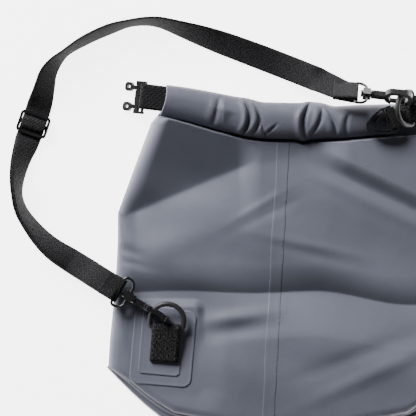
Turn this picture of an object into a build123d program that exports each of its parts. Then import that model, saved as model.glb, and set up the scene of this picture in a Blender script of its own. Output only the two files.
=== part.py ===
from build123d import *
import math
import os

# Dry bag lying on its back, millimetres. X runs across the bag, Y from base to mouth, Z up.
# Body
BODY_EDGE_H = 6.0
BODY_TOP_H = 14.0
BODY_INSET = 7.0
NECK_H = 4.0
BODY_SIDE = [(-60, -162), (-117, -148), (-181, -103), (-177, -45), (-173, 25), (-163, 80), (-132, 143)]
SHOULDER = [(-118, 141), (-28, 123), (55, 120), (118, 126)]
NECK = [(-132, 143), (-122, 158), (122, 158), (132, 143)]
BASE_SIDE = [(-183.5, -103.5), (-130, -151), (-70, -174)]
BASE_H = 5.0
SEAM_W = 12.0
SEAM_T = 0.6
# Rolled mouth
ROLL_PATH = [(-122, 165), (-28, 146), (55, 143), (106, 147)]
ROLL_DEPTH = 35.0
ROLL_TALL = 26.0
ROLL_Z = NECK_H + ROLL_TALL / 2
STIFF_W = 20.0
STIFF_T = 1.6
# Anchors: welded patches, webbing tabs and D-rings
PATCH_T = 0.8
TAB_W = 26.5
TAB_T = 3.0
TAB_WEB = 1.5
WIRE = 5.0
RING_HALF = 16.75
RING_LEG = 8.0
RING_CORNER = 3.2
LOOP_GAP = 0.35
LOW_BAR = (-123.5, -62.5, 20.0)
LOW_TAB_ANGLE = -5.0
LOW_RING_TILT = 14.0
UP_BAR = (121.5, 156.0, 22.4)
UP_RING_TILT = 50.0
# Snap hooks: x along the hook from the swivel, y towards the gate
EYE_WIRE = 2.8
EYE_L = 31.0
EYE_D = 12.0
EYE_CORNER = 2.9
EYE_SHOULDER = 7.5
SHANK_R = 2.5
SHANK_FIT = 0.05
HOOK_T = 6.0
GATE_T = 4.0
PIVOT = (22.0, 6.2)
PIN_R = 0.9
LOW_HOOK = (-161.0, -31.0, 24.9)
LOW_HOOK_ANGLE = -31.0
UP_HOOK = (75.5, 170.3, 36.4)
UP_HOOK_ANGLE = -6.0
UP_GATE_ROLL = 232.6
UP_EYE_ROLL = -50.0
# Shoulder strap
WEB_W = 25.0
WEB_T = 1.8
STRAP_PATH = [
    (-210.7, -1.1), (-249, 22), (-283, 73), (-249, 162), (-239, 209), (-152, 250), (-95, 232), (-40, 212.5), (0, 197),
]
RETURN_PATH = [(-210.7, -1.1), (-249, 22), (-283, 73), (-259, 136)]
RAMP_END = (40.0, 180.0, 34.0)
SLIDER = (-257.0, 141.0)
SLIDER_ANGLE = 71.0
SLIDER_W = 31.2
SLIDER_L = 22.5
# Closure buckle
MALE_BAR = (-146.3, 167.0, 17.0)
MALE_PLAN = 173.0
MALE_DROOP = 38.0
MALE_CHEEK = 15.2
MALE_WEB_SHIFT = 1.4
FEMALE_BAR = (101.0, 145.5, 33.9)
FEMALE_PLAN = 201.0
FEMALE_H = 7.0
BAR_R = 1.5
LOOP_WEB = 1.6

os.makedirs("parts", exist_ok=True)


def save(part, label):
    part.label = label
    export_step(part, f"parts/{label}.step")


def mirrored(half):
    """Closed outline from its left half."""
    return half + [(-x, y) for x, y in reversed(half)]


def direction(plan, pitch=0.0):
    a, p = math.radians(plan), math.radians(pitch)
    return Vector(math.cos(a) * math.cos(p), math.sin(a) * math.cos(p), math.sin(p))


def rolled_frame(origin, plan, roll):
    """x along a level axis, y turned by roll from level to up, z across."""
    along = direction(plan)
    side = direction(plan + 90)
    r = math.radians(roll)
    y_dir = side * math.cos(r) + Vector(0, 0, 1) * math.sin(r)
    return Plane(origin=origin, x_dir=along, z_dir=along.cross(y_dir))


def bend_radii(points):
    """Radius at each inner corner: 0.45 x the shorter run / tan(half the turn)."""
    radii = []
    for a, b, c in zip(points, points[1:], points[2:]):
        turn = math.atan2(c[1] - b[1], c[0] - b[0]) - math.atan2(b[1] - a[1], b[0] - a[0])
        turn = abs((turn + math.pi) % (2 * math.pi) - math.pi)
        radii.append(round(0.45 * min(math.dist(a, b), math.dist(b, c)) / math.tan(turn / 2), 1))
    return radii


def make_body():
    with BuildPart() as body:
        with BuildSketch():
            with BuildLine():
                Polyline(*mirrored(BODY_SIDE), close=True)
            make_face()
        extrude(amount=NECK_H)
        with BuildSketch():
            with BuildLine():
                Polyline(*NECK, close=True)
            make_face()
        extrude(amount=NECK_H)
        lower = BODY_SIDE[:-1]
        outline = [*lower, *SHOULDER, *[(-x, y) for x, y in reversed(lower)]]
        with BuildSketch(Plane.XY.offset(NECK_H)):
            with BuildLine():
                Polyline(*outline, close=True)
            make_face()
        extrude(amount=BODY_EDGE_H - NECK_H)
        with BuildSketch(Plane.XY.offset(BODY_EDGE_H)):
            with BuildLine():
                Polyline(*outline, close=True)
            make_face()
        with BuildSketch(Plane.XY.offset(BODY_TOP_H)):
            with BuildLine():
                Polyline(*outline, close=True)
            make_face()
            offset(amount=-BODY_INSET, kind=Kind.INTERSECTION, mode=Mode.REPLACE)
        loft(ruled=True)
    save(body.part, "body_tube")


def make_base():
    inner = [BODY_SIDE[2], BODY_SIDE[1], BODY_SIDE[0]]
    with BuildPart() as base:
        with BuildSketch():
            with BuildLine():
                outer = mirrored(BASE_SIDE)
                Polyline(*outer, *[(-x, y) for x, y in inner], *reversed(inner), close=True)
            make_face()
        extrude(amount=BASE_H)
    save(base.part, "base_panel")


def make_seam():
    frame = Plane(origin=(-14, -8, BODY_TOP_H), x_dir=direction(-3.2), z_dir=(0, 0, 1))
    with BuildPart() as seam:
        with BuildSketch(frame):
            Rectangle(SEAM_W, 236)
        extrude(amount=SEAM_T)
    save(seam.part, "body_seam")


def make_roll():
    with BuildPart() as roll:
        with BuildLine(Plane.XY.offset(ROLL_Z)) as path:
            FilletPolyline(*ROLL_PATH, radius=bend_radii(ROLL_PATH))
        start = Plane(origin=path.line @ 0, x_dir=(0, 0, 1), z_dir=path.line % 0)
        with BuildSketch(start):
            Ellipse(ROLL_TALL / 2, ROLL_DEPTH / 2)
            Rectangle(STIFF_T + 0.1, STIFF_W + 0.1, mode=Mode.SUBTRACT)
        sweep(path=path.line)
    save(roll.part, "rolled_top")
    with BuildPart() as stiffener:
        with BuildLine(Plane.XY.offset(ROLL_Z)) as path:
            FilletPolyline(*ROLL_PATH, radius=bend_radii(ROLL_PATH))
        start = Plane(origin=path.line @ 0, x_dir=(0, 0, 1), z_dir=path.line % 0)
        with BuildSketch(start):
            Rectangle(STIFF_T, STIFF_W)
        sweep(path=path.line)
    save(stiffener.part, "mouth_stiffener")


def make_patch(label, centre, size, corner, z, thickness=PATCH_T):
    frame = Plane(origin=(centre[0], centre[1], z), x_dir=direction(LOW_TAB_ANGLE), z_dir=(0, 0, 1))
    with BuildPart() as patch:
        with BuildSketch(frame):
            RectangleRounded(size[0], size[1], corner)
        extrude(amount=thickness)
    save(patch.part, label)


def make_tab(label, bar, bar_plan, reach):
    """Doubled webbing: a flat sewn tongue that ends in a loop round the ring's bar."""
    section = Plane(origin=bar, x_dir=direction(bar_plan - 90), z_dir=direction(bar_plan))
    radius = WIRE / 2 + LOOP_GAP + TAB_WEB
    with BuildPart() as tab:
        with BuildSketch(section):
            Circle(radius)
            with Locations((reach / 2, (TAB_T / 2 - radius) * section.y_dir.Z)):
                Rectangle(reach, TAB_T)
            Circle(WIRE / 2 + LOOP_GAP, mode=Mode.SUBTRACT)
        extrude(amount=TAB_W / 2, both=True)
    save(tab.part, label)


def make_ring(label, bar, bar_plan, tilt):
    up = direction(bar_plan + 90, tilt)
    frame = Plane(origin=bar, x_dir=direction(bar_plan), z_dir=direction(bar_plan).cross(up))
    flat = RING_HALF - RING_CORNER
    with BuildPart() as ring:
        with BuildLine(frame) as path:
            Line((-flat, 0), (flat, 0))
            CenterArc((flat, RING_CORNER), RING_CORNER, -90, 90)
            Line((RING_HALF, RING_CORNER), (RING_HALF, RING_LEG))
            CenterArc((0, RING_LEG), RING_HALF, 0, 180)
            Line((-RING_HALF, RING_LEG), (-RING_HALF, RING_CORNER))
            CenterArc((-flat, RING_CORNER), RING_CORNER, 180, 90)
        wire = path.wires()[0]
        with BuildSketch(Plane(origin=wire @ 0, z_dir=wire % 0)):
            Circle(WIRE / 2)
        sweep(path=wire)
    save(ring.part, label)


def make_eye(label, frame):
    """Wire loop for the webbing, with the swivel block on its far side."""
    half, near = EYE_L / 2, -EYE_D
    c, far = EYE_CORNER, EYE_SHOULDER
    with BuildPart() as eye:
        with BuildLine(frame) as path:
            FilletPolyline((0, 0), (0, half), (near, half), (near, -half), (0, -half), close=True,
                           radius=[0.0, far, c, c, far])
        wire = path.wires()[0]
        with BuildSketch(Plane(origin=wire @ 0, z_dir=wire % 0)):
            Circle(EYE_WIRE / 2)
        sweep(path=wire)
        with BuildSketch(frame.offset(-4)):
            RectangleRounded(8, 9.5, 1.5)
        extrude(amount=8)
        with BuildSketch(Plane(origin=frame.origin - frame.x_dir * 6, z_dir=frame.x_dir)):
            Circle(SHANK_R + SHANK_FIT)
        extrude(amount=12, mode=Mode.SUBTRACT)
    save(eye.part, label)


def make_rivet(label, frame):
    with BuildPart() as rivet:
        with BuildSketch(Plane(origin=frame.origin - frame.x_dir * 5.9, z_dir=frame.x_dir)):
            Circle(3.6)
        extrude(amount=1.6)
    save(rivet.part, label)


def make_hook(label, frame):
    with BuildPart() as hook:
        with BuildSketch(Plane(origin=frame.origin - frame.x_dir * 4.3, z_dir=frame.x_dir)):
            Circle(SHANK_R)
        extrude(amount=9.5)
        with BuildSketch(Plane(origin=frame.origin + frame.x_dir * 4.3, z_dir=frame.x_dir)):
            Circle(4.2)
        extrude(amount=2.7)
        with BuildSketch(frame.offset(-HOOK_T / 2)):
            with Locations((14, 0)):
                Rectangle(18, 6.4)
            with Locations((31.5, 0)):
                SlotOverall(28.5, 17.6)
            with Locations((31.5, 0)):
                SlotOverall(19, 10, mode=Mode.SUBTRACT)
            with Locations((31.6, 8)):
                Rectangle(14.2, 9, mode=Mode.SUBTRACT)
        extrude(amount=HOOK_T)
        with BuildSketch(frame.offset(-GATE_T / 2 - 0.15)):
            with Locations((24, 7.2)):
                Rectangle(9.4, 6.8)
        extrude(amount=GATE_T + 0.3, mode=Mode.SUBTRACT)
        with BuildSketch(frame.offset(-HOOK_T / 2)):
            with Locations(PIVOT):
                Circle(PIN_R)
        extrude(amount=HOOK_T, mode=Mode.SUBTRACT)
    save(hook.part, label)


def make_gate(label, frame):
    length = 38.2 - PIVOT[0]
    with BuildPart() as gate:
        with BuildSketch(frame.offset(-GATE_T / 2)):
            with Locations(PIVOT):
                Circle(1.6)
            with Locations((PIVOT[0] + length / 2, PIVOT[1] + 0.1)):
                Rectangle(length, 2.8)
            with Locations(PIVOT):
                Circle(PIN_R + 0.04, mode=Mode.SUBTRACT)
        extrude(amount=GATE_T)
    save(gate.part, label)


def make_gate_pin(label, frame):
    with BuildPart() as pin:
        with BuildSketch(frame.offset(-HOOK_T / 2)):
            with Locations(PIVOT):
                Circle(PIN_R)
        extrude(amount=HOOK_T)
    save(pin.part, label)


def make_hook_set(suffix, origin, plan, gate_roll, eye_roll):
    frame = rolled_frame(origin, plan, gate_roll)
    eye_frame = rolled_frame(origin, plan, eye_roll)
    make_eye(f"hook_eye_{suffix}", eye_frame)
    make_rivet(f"swivel_rivet_{suffix}", frame)
    make_hook(f"hook_body_{suffix}", frame)
    make_gate(f"hook_gate_{suffix}", frame)
    make_gate_pin(f"gate_pin_{suffix}", frame)


def make_end_loop(label, origin, plan, eye_roll, tail):
    """Sewn webbing loop round the near bar of a hook eye."""
    frame = rolled_frame(origin, plan, eye_roll)
    near = frame.origin - frame.x_dir * EYE_D
    radius = EYE_WIRE / 2 + LOOP_GAP + WEB_T
    with BuildPart() as loop:
        with BuildSketch(Plane(origin=near, x_dir=frame.x_dir, z_dir=frame.y_dir)):
            Circle(radius)
            with Locations((-tail / 2, 0)):
                Rectangle(tail, 2 * WEB_T)
            Circle(EYE_WIRE / 2 + LOOP_GAP, mode=Mode.SUBTRACT)
        extrude(amount=WEB_W / 2 - 0.3, both=True)
    save(loop.part, label)


def sweep_band(points, z):
    """Flat webbing laid along a level path, its lower face at z."""
    with BuildPart() as band:
        with BuildLine(Plane.XY.offset(z + WEB_T / 2)) as path:
            FilletPolyline(*points, radius=bend_radii(points))
        start = Plane(origin=path.line @ 0, x_dir=(0, 0, 1), z_dir=path.line % 0)
        with BuildSketch(start):
            Rectangle(WEB_T, WEB_W)
        sweep(path=path.line)
    return band.part, path.wires()[0].length


def ramp_profile(foot, plan, run, z_low, z_high):
    """Webbing that climbs from the floor to a hook, in the upright plane through foot."""
    along = direction(plan)
    with BuildPart() as ramp:
        with BuildSketch(Plane(origin=(foot[0], foot[1], 0), x_dir=along, z_dir=along.cross(Vector(0, 0, 1)))):
            with BuildLine():
                Polyline((0, z_low), (run, z_high), (run, z_high + WEB_T), (0, z_low + WEB_T), close=True)
            make_face()
        extrude(amount=WEB_W / 2, both=True)
    return ramp.part


def make_strap():
    top = LOW_HOOK[2]
    foot, last = STRAP_PATH[0], STRAP_PATH[-1]
    up_plan = math.degrees(math.atan2(RAMP_END[1] - last[1], RAMP_END[0] - last[0]))
    long_band, length = sweep_band(STRAP_PATH, 0.1)
    with BuildPart() as long_run:
        add(long_band)
        add(ramp_profile(foot, LOW_HOOK_ANGLE, 31, 0.1, top - WEB_T - 0.05))
        add(ramp_profile(last, up_plan, math.dist(last, RAMP_END[:2]), 0.1, RAMP_END[2]))
    save(long_run.part, "strap_long_run")
    return_band, return_length = sweep_band(RETURN_PATH, 2.0)
    with BuildPart() as return_run:
        add(return_band)
        add(ramp_profile(foot, LOW_HOOK_ANGLE, 31, 2.0, top + 0.05))
    save(return_run.part, "strap_return_layer")
    print("strap radii", bend_radii(STRAP_PATH), "length", round(length, 1))
    print("return radii", bend_radii(RETURN_PATH), "length", round(return_length, 1))
    print("volumes", round(long_band.volume), round(length * WEB_W * WEB_T))


def make_slider():
    frame = Plane(origin=(SLIDER[0], SLIDER[1], 4.2), x_dir=direction(SLIDER_ANGLE - 90), z_dir=(0, 0, 1))
    with BuildPart() as slider:
        with BuildSketch(frame):
            RectangleRounded(SLIDER_W, SLIDER_L, 4)
            with Locations((0, 5.0), (0, -5.0)):
                RectangleRounded(26, 6.8, 1.5, mode=Mode.SUBTRACT)
        extrude(amount=2.6)
        with BuildSketch(frame):
            with Locations((-14.4, 0), (14.4, 0)):
                Rectangle(2.4, 10)
        extrude(amount=-4.0)
    save(slider.part, "slider_frame")


def closure_loop(label, frame, tail, thick, half_width):
    """Webbing wrapped round a buckle's bar: the section in frame, drawn out to both sides."""
    with BuildPart() as loop:
        with BuildSketch(frame):
            Circle(BAR_R + LOOP_GAP + LOOP_WEB)
            with Locations((tail / 2, 0)):
                Rectangle(tail, thick)
            Circle(BAR_R + LOOP_GAP, mode=Mode.SUBTRACT)
        extrude(amount=half_width, both=True)
    save(loop.part, label)


def make_male_arm(label, frame, side):
    """Latch arm: a root boss, the arm and an open head."""
    with BuildPart() as arm:
        with BuildSketch(frame.offset(-1.6)):
            with Locations((10.2, side * 9.5)):
                Circle(2.2)
            with Locations((13.6, side * 9.5)):
                Rectangle(6.8, 4.2)
            with Locations((19.6, side * 10)):
                RectangleRounded(9.8, 9.2, 3.6)
                RectangleRounded(4.0, 3.2, 1.4, mode=Mode.SUBTRACT)
        extrude(amount=3.2)
    save(arm.part, label)


def make_left_closure():
    bar_dir = direction(MALE_PLAN - 90)
    middle = Vector(*MALE_BAR) + bar_dir * MALE_WEB_SHIFT
    section = Plane(origin=middle, x_dir=direction(MALE_PLAN + 180), z_dir=bar_dir * -1)
    closure_loop("closure_webbing_left", section, 21.8, 5, 12.2)
    out = direction(MALE_PLAN, -MALE_DROOP)
    frame = Plane(origin=MALE_BAR, x_dir=out, z_dir=bar_dir.cross(out))
    with BuildPart() as male:
        with BuildSketch(Plane(origin=frame.origin - frame.y_dir * MALE_CHEEK, z_dir=frame.y_dir)):
            Circle(BAR_R)
        extrude(amount=2 * MALE_CHEEK)
        with BuildSketch(frame.offset(-1.8)):
            with Locations((3, MALE_CHEEK), (3, -MALE_CHEEK)):
                Rectangle(9, 2.4)
            with Locations((7.6, 0)):
                Rectangle(5, 2 * MALE_CHEEK + 2.4)
            with Locations((10.2, 9.5), (10.2, -9.5)):
                Circle(2.6, mode=Mode.SUBTRACT)
        extrude(amount=3.6)
    save(male.part, "male_buckle_body")
    make_male_arm("male_arm_upper", frame, -1)
    make_male_arm("male_arm_lower", frame, 1)


def both_sides(half):
    """Closed outline from the side with positive y."""
    return half + [(x, -y) for x, y in reversed(half)]


def make_right_closure():
    out = direction(FEMALE_PLAN)
    frame = Plane(origin=FEMALE_BAR, x_dir=out, z_dir=(0, 0, 1))
    shell = [(-2.6, 13.4), (8, 13.4), (18, 9.8), (25, 5.4), (27.5, 1.6)]
    hollow = [(-3, 11.6), (7.4, 11.6), (16.8, 8.1), (22.8, 4.4), (24.6, 1.2)]
    arch = [(5, 8.4), (11.5, 7), (16.2, 3.4)]
    gap = [(6.4, 6.2), (10.8, 5), (14, 2.2)]
    with BuildPart() as female:
        with BuildSketch(Plane(origin=frame.origin - frame.y_dir * 13, z_dir=frame.y_dir)):
            Circle(BAR_R)
        extrude(amount=26)
        with BuildSketch(frame.offset(-FEMALE_H / 2)):
            Polygon(*both_sides(shell), align=None)
            Polygon(*both_sides(hollow), align=None, mode=Mode.SUBTRACT)
        extrude(amount=FEMALE_H)
        with BuildSketch(frame.offset(-FEMALE_H / 2 + 1)):
            Polygon(*both_sides(arch), align=None)
            with Locations((5.4, 0)):
                Rectangle(2, 24)
            Polygon(*both_sides(gap), align=None, mode=Mode.SUBTRACT)
        extrude(amount=FEMALE_H - 2)
    save(female.part, "female_buckle_body")
    section = Plane(origin=FEMALE_BAR, x_dir=out * -1, z_dir=frame.y_dir)
    closure_loop("closure_webbing_right", section, 4.2, 2 * LOOP_WEB, 11.2)
    with BuildPart() as block:
        with BuildSketch(Plane.XY.offset(NECK_H + 0.1)):
            with Locations((136, 156)):
                RectangleRounded(44, 27, 3)
        extrude(amount=UP_BAR[2] - 4.35 - NECK_H - 0.2)
    save(block.part, "mouth_webbing_end")


make_body()
make_base()
make_seam()
make_roll()
make_patch("patch_outer", (-127, -82), (61, 76), 9, BODY_TOP_H)
make_patch("patch_inner", (-128, -76), (42, 68), 5, BODY_TOP_H + PATCH_T)
make_tab("ring_tab_lower", LOW_BAR, LOW_TAB_ANGLE, 34)
make_ring("d_ring_lower", LOW_BAR, LOW_TAB_ANGLE, LOW_RING_TILT)
make_tab("ring_tab_upper", UP_BAR, 90, 30)
make_ring("d_ring_upper", UP_BAR, 90, UP_RING_TILT)
make_hook_set("lower", LOW_HOOK, LOW_HOOK_ANGLE, 90, 0)
make_hook_set("upper", UP_HOOK, UP_HOOK_ANGLE, UP_GATE_ROLL, UP_EYE_ROLL)
make_end_loop("strap_loop_lower", LOW_HOOK, LOW_HOOK_ANGLE, 0, 14.5)
make_end_loop("strap_loop_upper", UP_HOOK, UP_HOOK_ANGLE, UP_EYE_ROLL, 21)
make_strap()
make_slider()
make_left_closure()
make_right_closure()
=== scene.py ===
import bpy
import bmesh
import math
import numpy as np
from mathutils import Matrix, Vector


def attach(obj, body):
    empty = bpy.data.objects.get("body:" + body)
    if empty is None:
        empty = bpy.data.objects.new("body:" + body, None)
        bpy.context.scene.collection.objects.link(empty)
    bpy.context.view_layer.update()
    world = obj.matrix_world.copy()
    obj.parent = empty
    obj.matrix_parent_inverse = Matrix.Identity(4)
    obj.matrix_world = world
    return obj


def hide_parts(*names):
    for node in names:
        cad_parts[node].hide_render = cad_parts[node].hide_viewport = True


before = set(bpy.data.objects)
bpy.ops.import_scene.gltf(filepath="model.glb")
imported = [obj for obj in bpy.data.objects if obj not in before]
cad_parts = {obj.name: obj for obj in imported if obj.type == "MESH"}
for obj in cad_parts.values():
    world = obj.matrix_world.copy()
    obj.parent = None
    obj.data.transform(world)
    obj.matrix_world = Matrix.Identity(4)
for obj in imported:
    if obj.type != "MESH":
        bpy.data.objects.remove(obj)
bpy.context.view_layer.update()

MM = 0.001

# ---------------------------------------------------------------- sizes and places
# the shoulder strap, in metres: its route is the one that strap_long_run follows
STRAP_W, STRAP_T = 0.025, 0.0018
STRAP_STEP = 0.0025
ROUTE = [
    (-0.1713, -0.0248, 0.0249), (-0.1900, -0.0135, 0.0215), (-0.2107, -0.0011, 0.0050),
    (-0.249, 0.022, 0.0020), (-0.283, 0.073, 0.0020), (-0.249, 0.162, 0.0010),
    (-0.239, 0.209, 0.0020), (-0.152, 0.250, 0.0020), (-0.095, 0.232, 0.0020),
    (-0.040, 0.2125, 0.0020), (0.0, 0.197, 0.0040), (0.030, 0.184, 0.0220), (0.050, 0.1738, 0.0350),
    (0.0636, 0.1715, 0.0364),
]
# places along the strap in millimetres, and how wide it shows from above: it stands on edge in the bends
SHOWS = [
    (-170, -26, 25), (-216, 4, 24.5), (-244, 24, 18), (-259, 38, 13), (-270, 54, 9), (-277, 70, 6.5),
    (-276, 80, 9), (-272, 93, 13), (-264, 114, 20), (-260, 127, 25.5), (-254, 154, 25.5), (-247, 172, 21),
    (-240, 193, 16), (-225, 213, 5), (-206, 225, 8), (-182, 236, 9), (-161, 243, 5), (-141, 244, 7),
    (-117, 240, 12), (-92, 231, 19), (-67, 222, 23), (-28, 208, 25), (10, 192, 25), (42, 180, 23.5),
    (63, 171, 16),
]
FULL_SHOW = 25.5
LAST_TURN = 0.93
# the second layer reaches from the lower hook to the slider, and lies on the first
LAYER_SHARE = 0.335
LAYER_RISE = 0.0021
LAYER_W = STRAP_W - 0.0006
SLIDER_AT = np.array([-0.257, 0.141])
SLIDER_LINE = np.array([math.cos(math.radians(71)), math.sin(math.radians(71))])

# bars that webbing wraps, and the hooks' places and headings in degrees
LOW_BAR, UP_BAR = Vector((-0.1235, -0.0625, 0.020)), Vector((0.1215, 0.156, 0.0224))
LOW_HOOK, UP_HOOK = Vector((-0.161, -0.031, 0.0249)), Vector((0.0755, 0.1703, 0.0364))
LOW_PLAN, UP_PLAN = -31, -6
EYE_BACK = 0.012
LEFT_BAR, RIGHT_BAR = (-0.1461, 0.1684, 0.017), (0.101, 0.1455, 0.0339)

# the bag's outlines, in millimetres: left side, base line, and the edge of the folded base
LEFT = [
    (-182, -103), (-180.5, -75), (-177.5, -45), (-174, 0), (-173, 25), (-173, 52), (-156, 99), (-140, 142),
    (-127, 158),
]
BOTTOM = [
    (-182, -103), (-172, -109), (-158, -119), (-147, -128), (-134, -137.5), (-117, -148), (-60, -160),
    (0, -164), (60, -160), (117, -149), (147, -129), (182, -103),
]
SILHOUETTE = [
    (-183.5, -103), (-173, -114), (-159, -128), (-145, -141), (-130, -153), (-95, -166), (-60, -175),
    (0, -181), (60, -175), (95, -166), (130, -151), (183.5, -102),
]

# the roll's upper and lower edge, in millimetres, and its middle height and half thickness
UPPER = [
    (-122, 180), (-105, 177.5), (-90, 175), (-55, 168.5), (-43, 167), (-28, 163), (-10, 162.5), (10, 162),
    (18, 163.5), (32, 162), (43, 158.5), (66, 160), (95, 161), (106, 161),
]
LOWER = [
    (-130, 151), (-118, 148.5), (-105, 145), (-77, 137), (-45, 129), (-30, 127), (-10, 126), (5, 126),
    (13, 123.5), (22, 126), (55, 127), (80, 129.5), (100, 131), (106, 131.5),
]
ROLL_LEFT, ROLL_LENGTH = -124, 230
ROLL_MID, ROLL_HALF, ROLL_UNDER = 17, 12.6, 4.2
# creases over the roll: place, lean, bend, depth and half width in millimetres, then where across the roll
# (1 is its upper edge, -1 its lower) and how far that way it reaches
ROLL_FOLDS = [
    (-73, 3, 0, 1.8, 2.2, -0.1, 0.8), (-41, 0, -7, 5.2, 1.7, 0, 1.3), (-31, 0, -9, 3.8, 1.8, 0, 1.0),
    (-30, -7, 0, 2.6, 1.6, -0.4, 0.6), (-9, 20, 0, 2.4, 1.6, -0.65, 0.4), (13, 2, 6, 5.0, 2.1, 0, 1.3),
    (30, 6, -6, 2.6, 2.0, 0, 0.9), (43, -7, -5, 2.8, 2.0, 0, 0.9), (56, 3, 5, 2.0, 2.2, -0.3, 0.7),
]


# ---------------------------------------------------------------- camera
cam_data = bpy.data.cameras.new("camera")
cam_data.lens = 259.6
cam_data.sensor_width = 36.0
camera = bpy.data.objects.new("camera", cam_data)
camera.location = (-0.082, 0.057, 3.012)
bpy.context.collection.objects.link(camera)
bpy.context.scene.camera = camera


# ---------------------------------------------------------------- materials
class Nodes:
    """A material with its principled shader, and short ways to add nodes."""

    def __init__(self, name, colour, roughness, metallic=0.0, specular=0.5):
        self.mat = bpy.data.materials.new(name)
        self.mat.use_nodes = True
        self.tree = self.mat.node_tree
        self.shader = self.tree.nodes["Principled BSDF"]
        self.shader.inputs["Base Color"].default_value = (*colour, 1)
        self.shader.inputs["Roughness"].default_value = roughness
        self.shader.inputs["Metallic"].default_value = metallic
        self.shader.inputs["Specular IOR Level"].default_value = specular
        self.mat.diffuse_color = (*colour, 1)

    def add(self, kind, **values):
        node = self.tree.nodes.new(kind)
        for key, value in values.items():
            if hasattr(node, key):
                setattr(node, key, value)
            else:
                node.inputs[key.replace("_", " ")].default_value = value
        return node

    def link(self, a, b):
        self.tree.links.new(a, b)

    def coords(self, kind="Object"):
        return self.add("ShaderNodeTexCoord").outputs[kind]

    def noise(self, scale, detail=3.0, rough=0.5, coords=None):
        node = self.add("ShaderNodeTexNoise", Scale=scale, Detail=detail, Roughness=rough)
        self.link(coords or self.coords(), node.inputs["Vector"])
        return node.outputs["Fac"]

    def math(self, op, a, b=0.0, c=None):
        node = self.add("ShaderNodeMath", operation=op)
        for i, v in enumerate((a, b, c)):
            if v is None:
                continue
            if isinstance(v, (int, float)):
                node.inputs[i].default_value = v
            else:
                self.link(v, node.inputs[i])
        return node.outputs[0]

    def ramp(self, fac, lo, hi, lo_col, hi_col):
        node = self.add("ShaderNodeMapRange")
        for key, v in (("From Min", lo), ("From Max", hi)):
            node.inputs[key].default_value = v
        self.link(fac, node.inputs["Value"])
        mix = self.add("ShaderNodeMix", data_type="RGBA")
        mix.inputs[6].default_value = (*lo_col, 1)
        mix.inputs[7].default_value = (*hi_col, 1)
        self.link(node.outputs[0], mix.inputs[0])
        return mix.outputs[2]

    def bump(self, height, distance, strength=1.0, normal=None):
        node = self.add("ShaderNodeBump")
        node.inputs["Strength"].default_value = strength
        node.inputs["Distance"].default_value = distance
        self.link(height, node.inputs["Height"])
        if normal is not None:
            self.link(normal, node.inputs["Normal"])
        return node.outputs["Normal"]

    def finish(self, colour=None, normal=None, roughness=None):
        for value, key in ((colour, "Base Color"), (normal, "Normal"), (roughness, "Roughness")):
            if value is not None:
                self.link(value, self.shader.inputs[key])
        return self.mat


def coated_fabric(name, tone=1.0):
    base = (0.150 * tone, 0.160 * tone, 0.205 * tone)
    n = Nodes(name, base, 0.56, specular=0.42)
    cloud = n.noise(9.0, 4.0, 0.55)
    grain = n.noise(1400.0, 2.0, 0.7)
    mottled = n.math("ADD", n.math("MULTIPLY", cloud, 0.7), n.math("MULTIPLY", grain, 0.3))
    dark = tuple(0.86 * c for c in base)
    light = tuple(1.13 * c for c in base)
    colour = n.ramp(mottled, 0.34, 0.66, dark, light)
    weave_x = n.add("ShaderNodeTexWave", wave_type="BANDS", bands_direction="X", Scale=420.0)
    weave_y = n.add("ShaderNodeTexWave", wave_type="BANDS", bands_direction="Y", Scale=420.0)
    for node in (weave_x, weave_y):
        n.link(n.coords(), node.inputs["Vector"])
    weave = n.math("ADD", weave_x.outputs["Fac"], weave_y.outputs["Fac"])
    fine = n.bump(grain, 0.00012, 0.6)
    woven = n.bump(weave, 0.00003, 0.35, fine)
    crumple = n.bump(n.noise(55.0, 4.0, 0.6), 0.0011, 0.35, woven)
    rough = n.math("MULTIPLY_ADD", cloud, 0.16, 0.47)
    n.shader.inputs["Sheen Weight"].default_value = 0.12
    n.shader.inputs["Sheen Roughness"].default_value = 0.5
    return n.finish(colour, crumple, rough)


def webbing(name, rib=0.0015, fleck=0.0013, bright=0.055):
    """Woven black webbing; rib and fleck are the spacings of ribs and yarn in metres."""
    n = Nodes(name, (0.0165, 0.0165, 0.0180), 0.8, specular=0.16)
    coords = n.coords("UV")
    across = n.add("ShaderNodeTexWave", wave_type="BANDS", bands_direction="X", Scale=0.314 / rib)
    twill = n.add("ShaderNodeTexWave", wave_type="BANDS", bands_direction="DIAGONAL", Scale=0.27 / rib)
    across.inputs["Distortion"].default_value = 0.8
    twill.inputs["Distortion"].default_value = 1.6
    for node in (across, twill):
        n.link(coords, node.inputs["Vector"])
    yarn = n.math("MULTIPLY", across.outputs["Fac"], twill.outputs["Fac"])
    speckle = n.noise(1.0 / fleck, 2.0, 0.8, coords)
    fine = n.math("MULTIPLY_ADD", speckle, 1.9, -0.55)
    mixed = n.math("ADD", n.math("MULTIPLY", yarn, 0.16), n.math("MULTIPLY", fine, 0.98))
    colour = n.ramp(mixed, 0.30, 0.85, (0.007, 0.007, 0.008), (bright, bright, bright * 1.04))
    normal = n.bump(yarn, 0.0005, 0.9, n.bump(speckle, 0.0004, 0.8))
    return n.finish(colour, normal)


def moulded(name, colour, roughness, grain=0.00005, metallic=0.0):
    n = Nodes(name, colour, roughness, metallic=metallic, specular=0.5)
    fine = n.noise(700.0, 3.0, 0.6)
    wear = n.noise(60.0, 4.0, 0.65)
    tint = n.ramp(wear, 0.35, 0.75, tuple(0.8 * c for c in colour), tuple(1.7 * c for c in colour))
    rough = n.math("MULTIPLY_ADD", wear, 0.22, roughness - 0.1)
    return n.finish(tint, n.bump(fine, grain, 0.6), rough)


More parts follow.
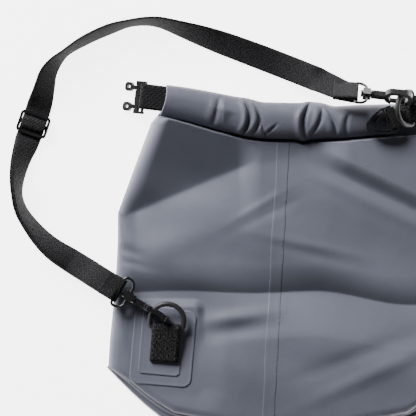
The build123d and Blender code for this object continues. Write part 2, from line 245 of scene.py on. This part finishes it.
FABRIC = coated_fabric("coated_fabric")
# painted shade: the folded base is the bag's own fabric darkened to 0.93, standing in for the shade it lies
# in
FABRIC_BASE_PAINTED_SHADE = coated_fabric("coated_fabric_base_painted_shade", 0.93)
# painted shade: the roll is the bag's own fabric darkened to 0.76, standing in for the shade over the
# rolled mouth
FABRIC_ROLL_PAINTED_SHADE = coated_fabric("coated_fabric_roll_painted_shade", 0.76)
PATCH = coated_fabric("patch_film", 1.16)
CUT_EDGE = coated_fabric("cut_edge", 1.9)
WEBBING = webbing("webbing")
TAB_WEBBING = webbing("tab_webbing", 0.0024, 0.0019, 0.075)
# painted shade: the right closure webbing is the black webbing darkened, standing in for the shade round
# the D-ring
EDGE_WEBBING_PAINTED_SHADE = webbing("edge_webbing_painted_shade", 0.0016, 0.0013, 0.022)
BLOCK_WEBBING = webbing("block_webbing", 0.0019, 0.0016, 0.045)
PLASTIC = moulded("moulded_plastic", (0.010, 0.010, 0.011), 0.27)
RING = moulded("ring_coating", (0.024, 0.024, 0.025), 0.46, 0.00006)
DARK_METAL = moulded("dark_metal", (0.012, 0.012, 0.013), 0.26, 0.00003)


# ---------------------------------------------------------------- mesh helpers
def smooth(t):
    t = np.clip(t, 0, 1)
    return t * t * (3 - 2 * t)


def new_mesh(name, verts, faces, material, uv=None, body="bag", shade=True):
    mesh = bpy.data.meshes.new(name)
    mesh.from_pydata([tuple(v) for v in verts], [], faces)
    if uv is not None:
        layer = mesh.uv_layers.new(name="UVMap")
        flat = np.array([uv[loop.vertex_index] for loop in mesh.loops], dtype=float).ravel()
        layer.data.foreach_set("uv", flat)
    mesh.update()
    obj = bpy.data.objects.new(name, mesh)
    bpy.context.collection.objects.link(obj)
    mesh.materials.append(material)
    if shade:
        for poly in mesh.polygons:
            poly.use_smooth = True
    bm = bmesh.new()
    bm.from_mesh(mesh)
    bmesh.ops.recalc_face_normals(bm, faces=bm.faces)
    bm.to_mesh(mesh)
    bm.free()
    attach(obj, body)
    return obj


def tube_mesh(name, rings, material, body="bag", uv=None, closed=False):
    """A closed surface through rings of points, all with the same count."""
    count, size = len(rings), len(rings[0])
    verts = [p for ring in rings for p in ring]
    faces = []
    for i in range(count if closed else count - 1):
        j = (i + 1) % count
        for k in range(size):
            m = (k + 1) % size
            faces.append((i * size + k, i * size + m, j * size + m, j * size + k))
    if not closed:
        faces.append(tuple(range(size)))
        faces.append(tuple(reversed(range((count - 1) * size, count * size))))
    return new_mesh(name, verts, faces, material, uv, body)


# ---------------------------------------------------------------- shoulder strap
def route_points(name, points):
    """Even points read from the smooth line through a route."""
    curve = bpy.data.curves.new(name, "CURVE")
    curve.dimensions = "3D"
    spline = curve.splines.new("NURBS")
    spline.points.add(len(points) - 1)
    for point, co in zip(spline.points, points):
        point.co = (*co, 1)
    spline.order_u = 3
    spline.use_endpoint_u = True
    spline.resolution_u = 24
    obj = bpy.data.objects.new(name, curve)
    bpy.context.collection.objects.link(obj)
    mesh = bpy.data.meshes.new_from_object(obj)
    pts = np.array([v.co[:] for v in mesh.vertices])
    bpy.data.objects.remove(obj)
    bpy.data.curves.remove(curve)
    bpy.data.meshes.remove(mesh)
    return pts


def even(pts, step):
    seg = np.linalg.norm(np.diff(pts, axis=0), axis=1)
    s = np.concatenate([[0], np.cumsum(seg)])
    count = max(2, int(s[-1] / step))
    t = np.linspace(0, s[-1], count)
    return np.stack([np.interp(t, s, pts[:, k]) for k in range(3)], axis=1), t


def ribbon_frame(tangent, tilt):
    """Directions across and out of webbing that is turned by tilt, in radians, about its line."""
    ahead = Vector(tangent).normalized()
    level = Vector((-ahead.y, ahead.x, 0)).normalized()
    up = ahead.cross(level) * -1
    if up.z < 0:
        up = -up
    wide = level * math.cos(tilt) + up * math.sin(tilt)
    out = up * math.cos(tilt) - level * math.sin(tilt)
    return wide, out


def ribbon_section(width, thick, steps=10):
    """Outline of flat webbing with rounded edges, as places across and out."""
    half, t = width / 2, thick / 2
    flat = [-half + t * 0.6 + (width - 1.2 * t) * k / steps for k in range(steps + 1)]
    upper = [(x, t) for x in flat]
    lower = [(-x, -t) for x in flat]
    right = [(half, t * 0.45), (half, -t * 0.45)]
    left = [(-half, -t * 0.45), (-half, t * 0.45)]
    return upper + right + lower + left


def ribbon_rings(pts, dist, tilt_deg, width, thick):
    """Rings and texture places of slightly bowed webbing along pts, turned by tilt about its line."""
    rings, uvs = [], []
    section = ribbon_section(width, thick)
    for p, tangent, d, tilt in zip(pts, np.gradient(pts, axis=0), dist, np.radians(tilt_deg)):
        wide, out = ribbon_frame(tangent, tilt)
        ring = []
        for x, y in section:
            bow = 0.0006 * (1 - (2 * x / width) ** 2)
            ring.append(Vector(p) + wide * x + out * (y + bow))
            uvs.append((x, d))
        rings.append(ring)
    return rings, uvs


def strap_course():
    """Even points along the strap, their distances, and how far the webbing is turned there in degrees."""
    pts, dist = even(route_points("strap_line", ROUTE), STRAP_STEP)
    at = [int(np.argmin(np.hypot(pts[:, 0] * 1000 - x, pts[:, 1] * 1000 - y))) for x, y, _ in SHOWS]
    turned = [math.degrees(math.acos(min(shown / FULL_SHOW, 1))) for _, _, shown in SHOWS]
    tilt = np.interp(np.arange(len(dist)), at, turned)
    tilt[dist / dist[-1] > LAST_TURN] *= -1
    for _ in range(4):
        tilt[1:-1] = (tilt[:-2] + 2 * tilt[1:-1] + tilt[2:]) / 4
    lowest = STRAP_W / 2 * np.abs(np.sin(np.radians(tilt))) + 0.0010
    pts[:, 2] = np.maximum(pts[:, 2], lowest)
    return pts, dist, tilt


def long_run(pts, dist, tilt):
    rings, uvs = ribbon_rings(pts, dist, tilt, STRAP_W, STRAP_T)
    strap = tube_mesh("shoulder_strap", rings, WEBBING, uv=uvs)
    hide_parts("strap_long_run")


def return_layer(pts, dist, tilt):
    """The second layer between slider and lower hook, lying on the first."""
    mask = dist / dist[-1] < LAYER_SHARE
    pts, dist, tilt = pts[mask], dist[mask], tilt[mask]
    raised = []
    for p, tangent, turn in zip(pts, np.gradient(pts, axis=0), np.radians(tilt)):
        out = ribbon_frame(tangent, turn)[1]
        raised.append(Vector(p) + out * LAYER_RISE)
    rings, uvs = ribbon_rings(np.array(raised), dist, tilt, LAYER_W, STRAP_T)
    layer = tube_mesh("strap_return", rings, WEBBING, uv=uvs)
    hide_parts("strap_return_layer")


def slider_webbing():
    """The webbing rises over the slider's middle bar, and travels with it."""
    over = np.linspace(-0.0082, 0.0082, 25)
    heights = 0.0031 + 0.0050 * smooth((0.0078 - np.abs(over)) / 0.0052)
    pts = np.array([(*(SLIDER_AT + SLIDER_LINE * u), z) for u, z in zip(over, heights)])
    rings, uvs = ribbon_rings(pts, over, 0 * over, LAYER_W, STRAP_T)
    hump = tube_mesh("slider_webbing", rings, WEBBING, body="slider", uv=uvs)


course = strap_course()
long_run(*course)
return_layer(*course)
slider_webbing()


# ---------------------------------------------------------------- webbing loops round bars
def plane_axes(origin, x_dir, width_dir):
    x = Vector(x_dir).normalized()
    w = Vector(width_dir).normalized()
    return Vector(origin), x, w, w.cross(x)


def loop_profile(hole, thick, reach, drop):
    """Middle line, square to the bar, of webbing that wraps it and lies back on itself."""
    mid = hole + thick / 2
    profile = []
    for k in range(13):
        t = k / 12
        rise = thick * 0.52 * (1 - smooth(t)) + mid * smooth(t)
        profile.append((reach * (1 - t), rise - drop * (1 - t)))
    for k in range(1, 16):
        a = math.radians(90 + 180 * k / 15)
        profile.append((mid * math.cos(a), mid * math.sin(a)))
    for k in range(1, 13):
        t = k / 12
        fall = mid * (1 - smooth(t)) + thick * 0.52 * smooth(t)
        profile.append((reach * t, -fall - drop * t))
    return [np.array(p) for p in profile]


def web_loop(name, node, origin, x_dir, width_dir, hole, thick, reach, width, material, drop=0.0):
    """Webbing round a bar of radius hole at origin, its two ends sewn together reach away."""
    o, x, w, n = plane_axes(origin, x_dir, width_dir)
    if n.z < 0:
        n = -n
    pts = loop_profile(hole, thick, reach, drop)
    across = [-width / 2 + width * k / 8 for k in range(9)]
    section = [(q, 1) for q in across] + [(q, -1) for q in reversed(across)]
    rings, uvs, run = [], [], 0.0
    for i, p in enumerate(pts):
        a = pts[max(i - 1, 0)]
        b = pts[min(i + 1, len(pts) - 1)]
        d = (b - a) / np.linalg.norm(b - a)
        normal = np.array([-d[1], d[0]])
        run += float(np.linalg.norm(p - a)) if i else 0.0
        ring = []
        for q, face in section:
            s = p + face * normal * thick / 2
            ring.append(o + x * s[0] + n * s[1] + w * q)
            uvs.append((q, run))
        rings.append(ring)
    obj = tube_mesh(name, rings, material, uv=uvs)
    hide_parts(node)
    return obj


def heading(plan):
    a = math.radians(plan)
    return Vector((math.cos(a), math.sin(a), 0))


def rolled(plan, roll):
    """Direction across a strap that heads along plan and is rolled about that line."""
    r = math.radians(roll)
    return heading(plan + 90) * math.cos(r) + Vector((0, 0, 1)) * math.sin(r)


low_near = LOW_HOOK - heading(LOW_PLAN) * EYE_BACK
up_near = UP_HOOK - heading(UP_PLAN) * EYE_BACK
web_loop("ring_tab_low", "ring_tab_lower", LOW_BAR, heading(-95), heading(-5),
         0.00285, 0.0015, 0.034, 0.0280, TAB_WEBBING, drop=0.0030)
web_loop("ring_tab_up", "ring_tab_upper", UP_BAR, heading(0), heading(90),
         0.00285, 0.0015, 0.030, 0.0265, TAB_WEBBING, drop=0.0030)
web_loop("strap_end_low", "strap_loop_lower", low_near, heading(LOW_PLAN + 180), rolled(LOW_PLAN, 0),
         0.00175, 0.0018, 0.0165, 0.0246, WEBBING)
web_loop("strap_end_up", "strap_loop_upper", up_near, heading(UP_PLAN + 180), rolled(UP_PLAN, -50),
         0.00175, 0.0018, 0.0215, 0.0246, WEBBING)
web_loop("closure_loop_left", "closure_webbing_left", LEFT_BAR, heading(-7), heading(83),
         0.00185, 0.0025, 0.0275, 0.0252, BLOCK_WEBBING)
# the right closure loop takes the darkened webbing copy: painted shade
web_loop("closure_loop_right", "closure_webbing_right", RIGHT_BAR, heading(21), heading(111),
         0.00185, 0.0016, 0.0050, 0.0224, EDGE_WEBBING_PAINTED_SHADE)


# ---------------------------------------------------------------- bag body
def along(points, t):
    p = np.array(points, dtype=float)
    s = np.concatenate([[0], np.cumsum(np.linalg.norm(np.diff(p, axis=0), axis=1))])
    s /= s[-1]
    return np.stack([np.interp(t, s, p[:, 0]), np.interp(t, s, p[:, 1])], axis=-1)


def line_dist(x, y, a, b):
    dx, dy = b[0] - a[0], b[1] - a[1]
    n = math.hypot(dx, dy)
    return ((x - a[0]) * -dy + (y - a[1]) * dx) / n


def soft_max(a, b, k):
    return 0.5 * (a + b + np.sqrt((a - b) ** 2 + k * k))


def blob(x, y, cx, cy, rx, ry, turn=0.0):
    c, s = math.cos(math.radians(turn)), math.sin(math.radians(turn))
    u = ((x - cx) * c + (y - cy) * s) / rx
    v = (-(x - cx) * s + (y - cy) * c) / ry
    return np.exp(-(u * u + v * v))


def bag_height(x, y):
    """Height of the front face in millimetres, before its edges round over."""
    calm = 15.0 + 5.0 * blob(x, y, 10, -95, 120, 60) + 3.0 * blob(x, y, -30, 40, 110, 50)
    valley = -27 - 12 * smooth((x - 20) / 106) + 1.2 * np.sin(x / 23.0)
    d = y - valley
    depth = 9.5 * smooth((x + 178) / 30) * (0.85 + 0.15 * np.sin(x / 50.0 + 1))
    folds = -depth * np.where(d > 0, np.clip(1 - d / 30, 0, 1) ** 2.0, np.clip(1 + d / 46, 0, 1) ** 1.3)
    left = line_dist(x, y, (-172, 46), (-46, 99))
    facet = smooth((-28 - x) / 24) * smooth((x + 178) / 26)
    folds += (soft_max(left, 0, 2) * 0.43 - 8.5 * np.exp(-soft_max(-left, 0, 2) / 26)) * facet
    mid = line_dist(x, y, (-48, 97), (0, 108))
    folds += soft_max(mid, 0, 3) * 0.16 * smooth((x + 54) / 20) * smooth((26 - x) / 30)
    ridge = line_dist(x, y, (0, 110), (126, 50))
    folds += 10.0 * smooth((ridge - 2) / 18) * smooth((x - 20) / 40)
    folds += 1.6 * np.exp(-((ridge + 8) / 7.0) ** 2) * smooth((x - 6) / 40)
    folds += 2.4 * blob(x, y, -54, -52, 34, 7, 8) - 2.2 * blob(x, y, -54, -66, 36, 8, 8)
    folds -= 2.8 * blob(x, y, -163, 14, 20, 6, -22) + 2.0 * blob(x, y, -158, 2, 20, 5, -15)
    folds += 1.1 * np.sin((x * 0.8 + y * 1.7) / 21.0) * smooth((y + 150) / 60) * smooth((110 - y) / 60)
    folds += 1.8 * blob(x, y, 80, -110, 60, 8, 24) - 1.8 * blob(x, y, 70, -90, 60, 9, 20)
    folds += 2.4 * blob(x, y, -120, 20, 40, 16, 20)
    folds += 0.9 * blob(x, y, 20, 20, 46, 5, -12) - 0.9 * blob(x, y, 30, 8, 50, 6, -14)
    folds += 0.8 * blob(x, y, -30, 60, 30, 4, 30) - 0.8 * blob(x, y, -24, 50, 34, 5, 26)
    away = np.hypot(np.maximum(np.abs(x + 127) - 31, 0), np.maximum(np.abs(y + 83) - 38, 0))
    level = smooth(1 - away / 34)
    h = calm * (1 - level) + 14.0 * level + folds * smooth((away - 2) / 10)
    under = np.interp(x, [p[0] for p in LOWER], [p[1] for p in LOWER])
    crevice = smooth((under - 1.2 - y) / 2.6)
    return 4.5 + (h - 4.5) * crevice


def bag_surface():
    nu, nv = 300, 300
    u = np.linspace(0, 1, nu)
    v = np.linspace(0, 1, nv)
    uu, vv = np.meshgrid(u, v)
    side_l = along(LEFT, vv)
    side_r = side_l * np.array([-1, 1])
    bottom = along(BOTTOM, uu)
    top = np.stack([-126 + 252 * uu, 158 + 0 * uu], axis=-1)
    c00, c10 = np.array(LEFT[0]), np.array([-LEFT[0][0], LEFT[0][1]])
    c01, c11 = np.array(LEFT[-1]), np.array([-LEFT[-1][0], LEFT[-1][1]])
    w = uu[..., None]
    q = vv[..., None]
    xy = (1 - w) * side_l + w * side_r + (1 - q) * bottom + q * top
    xy -= (1 - w) * (1 - q) * c00 + w * (1 - q) * c10 + (1 - w) * q * c01 + w * q * c11
    x, y = xy[..., 0], xy[..., 1]
    width = (side_r - side_l)[..., 0]
    edge = np.minimum(uu, 1 - uu) * width
    base = vv * 320
    round_side = np.sqrt(1 - (1 - np.clip(edge / 17, 0, 1)) ** 2)
    round_base = np.sqrt(1 - (1 - np.clip(base / 10, 0, 1)) ** 2)
    p = round_side * (0.5 + 0.5 * round_base)
    zt = 3.2 + (bag_height(x, y) - 3.2) * p
    zb = 3.2 - 3.0 * np.sqrt(1 - (1 - np.clip(edge / 6, 0, 1)) ** 2) * np.clip(0.4 + base / 8, 0, 1)
    return x, y, zt, zb


def bag_mesh():
    x, y, zt, zb = bag_surface()
    nv, nu = x.shape
    top = np.stack([x, y, zt], axis=-1).reshape(-1, 3) * MM
    bot = np.stack([x, y, zb], axis=-1).reshape(-1, 3) * MM
    verts = np.concatenate([top, bot])
    off = nv * nu
    faces = []
    for j in range(nv - 1):
        for i in range(nu - 1):
            a = j * nu + i
            faces.append((a, a + 1, a + nu + 1, a + nu))
            faces.append((off + a, off + a + nu, off + a + nu + 1, off + a + 1))
    for i in range(nu - 1):
        faces.append((i + 1, i, off + i, off + i + 1))
        a = (nv - 1) * nu + i
        faces.append((a, a + 1, off + a + 1, off + a))
    for j in range(nv - 1):
        a = j * nu
        faces.append((a, a + nu, off + a + nu, off + a))
        b = j * nu + nu - 1
        faces.append((b + nu, b, off + b, off + b + nu))
    return new_mesh("bag_body", verts, faces, FABRIC)


bag = bag_mesh()
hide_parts("body_tube")


# ---------------------------------------------------------------- folded base
def base_fold():
    n, m = 160, 14
    t = np.linspace(0, 1, n)
    inner = along(BOTTOM, t) + np.array([0, 2.5])
    outer = along(SILHOUETTE, t)
    rings = []
    ends = np.sqrt(np.clip(np.minimum(t, 1 - t) / 0.03, 0.04, 1))
    for a, b, e in zip(inner, outer, ends):
        ring = []
        for k in range(m):
            s = k / (m - 1)
            p = a + (b - a) * s
            z = 1.0 + (8.5 * math.sqrt(max(1 - s ** 2.2, 0)) + 1.2 * math.sin(s * 9)) * e
            ring.append((p[0] * MM, p[1] * MM, max(z, 0.8) * MM))
        for k in range(m - 1, -1, -1):
            s = k / (m - 1)
            p = a + (b - a) * s
            ring.append((p[0] * MM, p[1] * MM, 0.3 * MM))
        rings.append(ring)
    # the base fold takes the darkened fabric copy: painted shade
    return tube_mesh("base_fold", rings, FABRIC_BASE_PAINTED_SHADE)


folded_base = base_fold()
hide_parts("base_panel")


# ---------------------------------------------------------------- rolled mouth
def roll_edges(xs):
    """The roll's upper and lower edge at each place, evened out."""
    kernel = np.ones(9) / 9
    edges = []
    for outline in (UPPER, LOWER):
        edge = np.interp(xs, [p[0] for p in outline], [p[1] for p in outline])
        edges.append(np.convolve(np.pad(edge, 4, mode="edge"), kernel, mode="valid"))
    return edges


def roll_crease(x, across):
    """How far the roll's upper side is raised there, in millimetres."""
    height = 0.0
    for place, lean, bend, depth, wide, mid, reach in ROLL_FOLDS:
        off = x - place - lean * across - bend * across * across
        depth *= math.exp(-((across - mid) / reach) ** 4)
        height -= depth * math.exp(-(off / wide) ** 2)
        height += 0.4 * depth * math.exp(-((off + 2.6 * wide) / (1.5 * wide)) ** 2)
    height += 2.6 * math.exp(-((abs(x + 66) / 8 + abs(across - 0.1) / 0.55) ** 2))
    height += 0.35 * math.sin(x / 6.3 + 2 * across) * math.cos(x / 15.0) * smooth((x + 90) / 30)
    return height


def roll_ring(x, upper, lower, share, count):
    """One ring of the roll; share runs from 0 at its left end to 1 at its right."""
    middle, half = (upper + lower) / 2, (upper - lower) / 2
    ring = []
    for k in range(count):
        turn = 2 * math.pi * k / count
        c, s = math.cos(turn), math.sin(turn)
        y = middle + half * np.sign(c) * abs(c) ** 0.92
        across = (y - middle) / max(half, 1)
        top = max(s, 0.0)
        z = ROLL_MID + ROLL_HALF * s + roll_crease(x, across) * top
        twist = 2.0 * math.sin(x / 19.0) * (0.3 + 0.7 * top)
        slant = (3.2 * across + 2.6 * (1 - across * across) - 2.4) * (1 - share) ** 5
        ring.append(((x + slant) * MM, (y + 0.25 * twist) * MM, max(z, ROLL_UNDER) * MM))
    return ring


def drawn_in(ring, factor, shift):
    """A copy of a ring, drawn in towards its middle and moved along the roll."""
    ring = np.array(ring)
    middle = ring.mean(axis=0)
    return [tuple(p) for p in middle + (ring - middle) * factor + np.array([shift, 0, 0])]


def roll_mesh():
    count, around = 340, 72
    shares = np.linspace(0, 1, count)
    xs = ROLL_LEFT + ROLL_LENGTH * shares
    upper, lower = roll_edges(xs)
    rings = [roll_ring(x, a, b, s, around) for x, a, b, s in zip(xs, upper, lower, shares)]
    # the left end is open with a cut lip, the right end is drawn in
    lip = ((0.6, 0.010), (0.86, 0.008), (0.90, 0.0010), (0.95, -0.0006))
    end = ((0.9, -0.0005), (0.55, -0.004))
    before = [drawn_in(rings[0], factor, shift) for factor, shift in lip]
    after = [drawn_in(rings[-1], factor, shift) for factor, shift in end]
    # the roll takes the darkened fabric copy: painted shade
    obj = tube_mesh("mouth_roll", before + rings + after, FABRIC_ROLL_PAINTED_SHADE)
    obj.data.materials.append(CUT_EDGE)
    for poly in obj.data.polygons[2 * around:4 * around]:
        poly.material_index = 1
    return obj


mouth_roll = roll_mesh()
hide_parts("rolled_top", "mouth_stiffener")


# ---------------------------------------------------------------- patches and weld line
def height_at(x, y):
    return float(bag_height(np.array([x]), np.array([y]))[0])


def corner_points(size, corner, count=24):
    """Points round a rounded rectangle: each corner's centre and the direction from it."""
    hx, hy = size[0] / 2 - corner, size[1] / 2 - corner
    points = []
    for cx, cy, start in ((hx, hy, 0), (-hx, hy, 90), (-hx, -hy, 180), (hx, -hy, 270)):
        for k in range(count):
            t = math.radians(start + 90 * k / (count - 1))
            points.append((cx, cy, math.cos(t), math.sin(t)))
    return points


def patch_mesh(name, node, centre, size, corner, lift, thick, angle=-5.0):
    """A welded patch with rounded corners and a rolled edge, lying on the front face."""
    # height and inset of each ring, from the outer edge inwards
    edge = [(-0.4, 0.0), (thick * 0.55, 0.0), (thick, -0.5), (thick, -1.6), (thick * 0.78, -2.6),
            (thick * 0.8, -4.0)]
    rings = []
    for dz, inset in edge:
        r = corner + inset
        rings.append([(cx + r * c, cy + r * s, dz) for cx, cy, c, s in corner_points(size, corner)])
    rim = rings[-1]
    for f in (0.75, 0.5, 0.25, 0.02):
        rings.append([(px * f, py * f, thick * 0.8) for px, py, _ in rim])
    a = math.radians(angle)
    placed = []
    for ring in rings:
        pts = []
        for px, py, dz in ring:
            x = centre[0] + px * math.cos(a) - py * math.sin(a)
            y = centre[1] + px * math.sin(a) + py * math.cos(a)
            pts.append((x * MM, y * MM, (height_at(x, y) + lift + dz) * MM))
        placed.append(pts)
    obj = tube_mesh(name, placed, PATCH)
    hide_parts(node)
    return obj


patch_mesh("ring_patch", "patch_outer", (-127, -82), (62, 77), 9, 0.05, 0.75)
patch_mesh("ring_patch_inner", "patch_inner", (-128.5, -76), (42, 68), 4.5, 0.65, 0.8)


def weld_lap():
    """The lapped side weld down the front: a raised strip with a sharp right edge."""
    rings = []
    for y in np.linspace(126, -162, 240):
        xc = -1.4 + (-15 + 1.4) * (114 - y) / 241
        width = 12 + 0.5 * math.sin(y / 17)
        dash = 0.10 * math.sin(y * 1.3) * (math.sin(y / 9.0) > -0.3)
        cross = [(1.0, -0.6), (0.8, 0.02), (0.0, 0.15 + dash), (-0.9, 0.2 + dash), (-2.4, 0.14), (-9, 0.16),
                 (-width + 1, 0.24), (-width, 0.14), (-width - 0.5, -0.6)]
        ring = []
        for dx, dz in cross:
            x = xc + dx + 0.25 * math.sin(y / 5.0) * (dx > -1)
            edge = math.sqrt(1 - (1 - min((y + 164) / 10, 1)) ** 2) if y < -154 else 1.0
            z = 3.2 + (height_at(x, y) - 3.2) * (0.5 + 0.5 * edge)
            ring.append((x * MM, y * MM, (z + dz) * MM))
        rings.append(ring)
    return tube_mesh("weld_lap", rings, FABRIC)


seam = weld_lap()
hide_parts("body_seam")


# ---------------------------------------------------------------- webbing at the right end
def webbing_end():
    rings, uvs = [], []
    for k in range(40):
        s = k / 39
        x = 0.1075 + 0.049 * s
        ring = []
        grow = 0.75 + 0.25 * math.sqrt(min(s / 0.1, 1))
        for j in range(40):
            th = 2 * math.pi * j / 40
            c, sn = math.cos(th), math.sin(th)
            y = 0.156 + 0.0135 * np.sign(c) * abs(c) ** 0.25 * grow
            z = 0.0110 + 0.0068 * np.sign(sn) * abs(sn) ** 0.5 * grow
            ring.append((x, y, z))
            uvs.append((y, x))
        rings.append(ring)
    return tube_mesh("mouth_webbing", rings, TAB_WEBBING, uv=uvs)


mouth_end = webbing_end()
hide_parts("mouth_webbing_end")


# ---------------------------------------------------------------- hardware finishes
def finish_node(name, material, bevel=0.0004):
    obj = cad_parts[name]
    obj.data.materials.clear()
    obj.data.materials.append(material)
    if bevel:
        mod = obj.modifiers.new("soft_edges", "BEVEL")
        mod.width = bevel
        mod.segments = 3
        mod.limit_method = "ANGLE"
        mod.angle_limit = math.radians(38)
        mod.use_clamp_overlap = True


for suffix in ("lower", "upper"):
    finish_node(f"d_ring_{suffix}", RING, 0)
    finish_node(f"hook_eye_{suffix}", DARK_METAL, 0.0003)
    finish_node(f"hook_body_{suffix}", DARK_METAL, 0.0008)
    finish_node(f"hook_gate_{suffix}", PLASTIC, 0.0004)
    finish_node(f"swivel_rivet_{suffix}", DARK_METAL, 0.0004)
    finish_node(f"gate_pin_{suffix}", DARK_METAL, 0)
for name in ("slider_frame", "male_buckle_body", "male_arm_upper", "male_arm_lower", "female_buckle_body"):
    finish_node(name, PLASTIC, 0.0006)


# ---------------------------------------------------------------- floor and light
floor_mat = Nodes("floor", (0.80, 0.78, 0.79), 0.95, specular=0.05)
floor_mat.shader.inputs["Emission Color"].default_value = (1.0, 0.97, 0.98, 1)
floor_mat.shader.inputs["Emission Strength"].default_value = 5.0
bpy.ops.mesh.primitive_plane_add(size=12, location=(0, 0, -0.0002))
floor = bpy.context.object
floor.name = "floor"
floor.data.materials.append(floor_mat.mat)

world = bpy.data.worlds.new("world")
world.use_nodes = True
world.node_tree.nodes["Background"].inputs[0].default_value = (1.0, 0.99, 1.0, 1)
world.node_tree.nodes["Background"].inputs[1].default_value = 0.05
bpy.context.scene.world = world


def area_light(name, location, target, size, power):
    data = bpy.data.lights.new(name, "AREA")
    data.shape = "DISK"
    data.size = size
    data.energy = power
    obj = bpy.data.objects.new(name, data)
    obj.location = location
    obj.rotation_euler = (Vector(target) - Vector(location)).to_track_quat("-Z", "Y").to_euler()
    bpy.context.collection.objects.link(obj)


area_light("key", (-1.65, 2.15, 1.42), (-0.05, 0.05, 0), 1.6, 190)
area_light("fill", (1.2, -0.4, 2.2), (0, 0, 0), 1.6, 2)
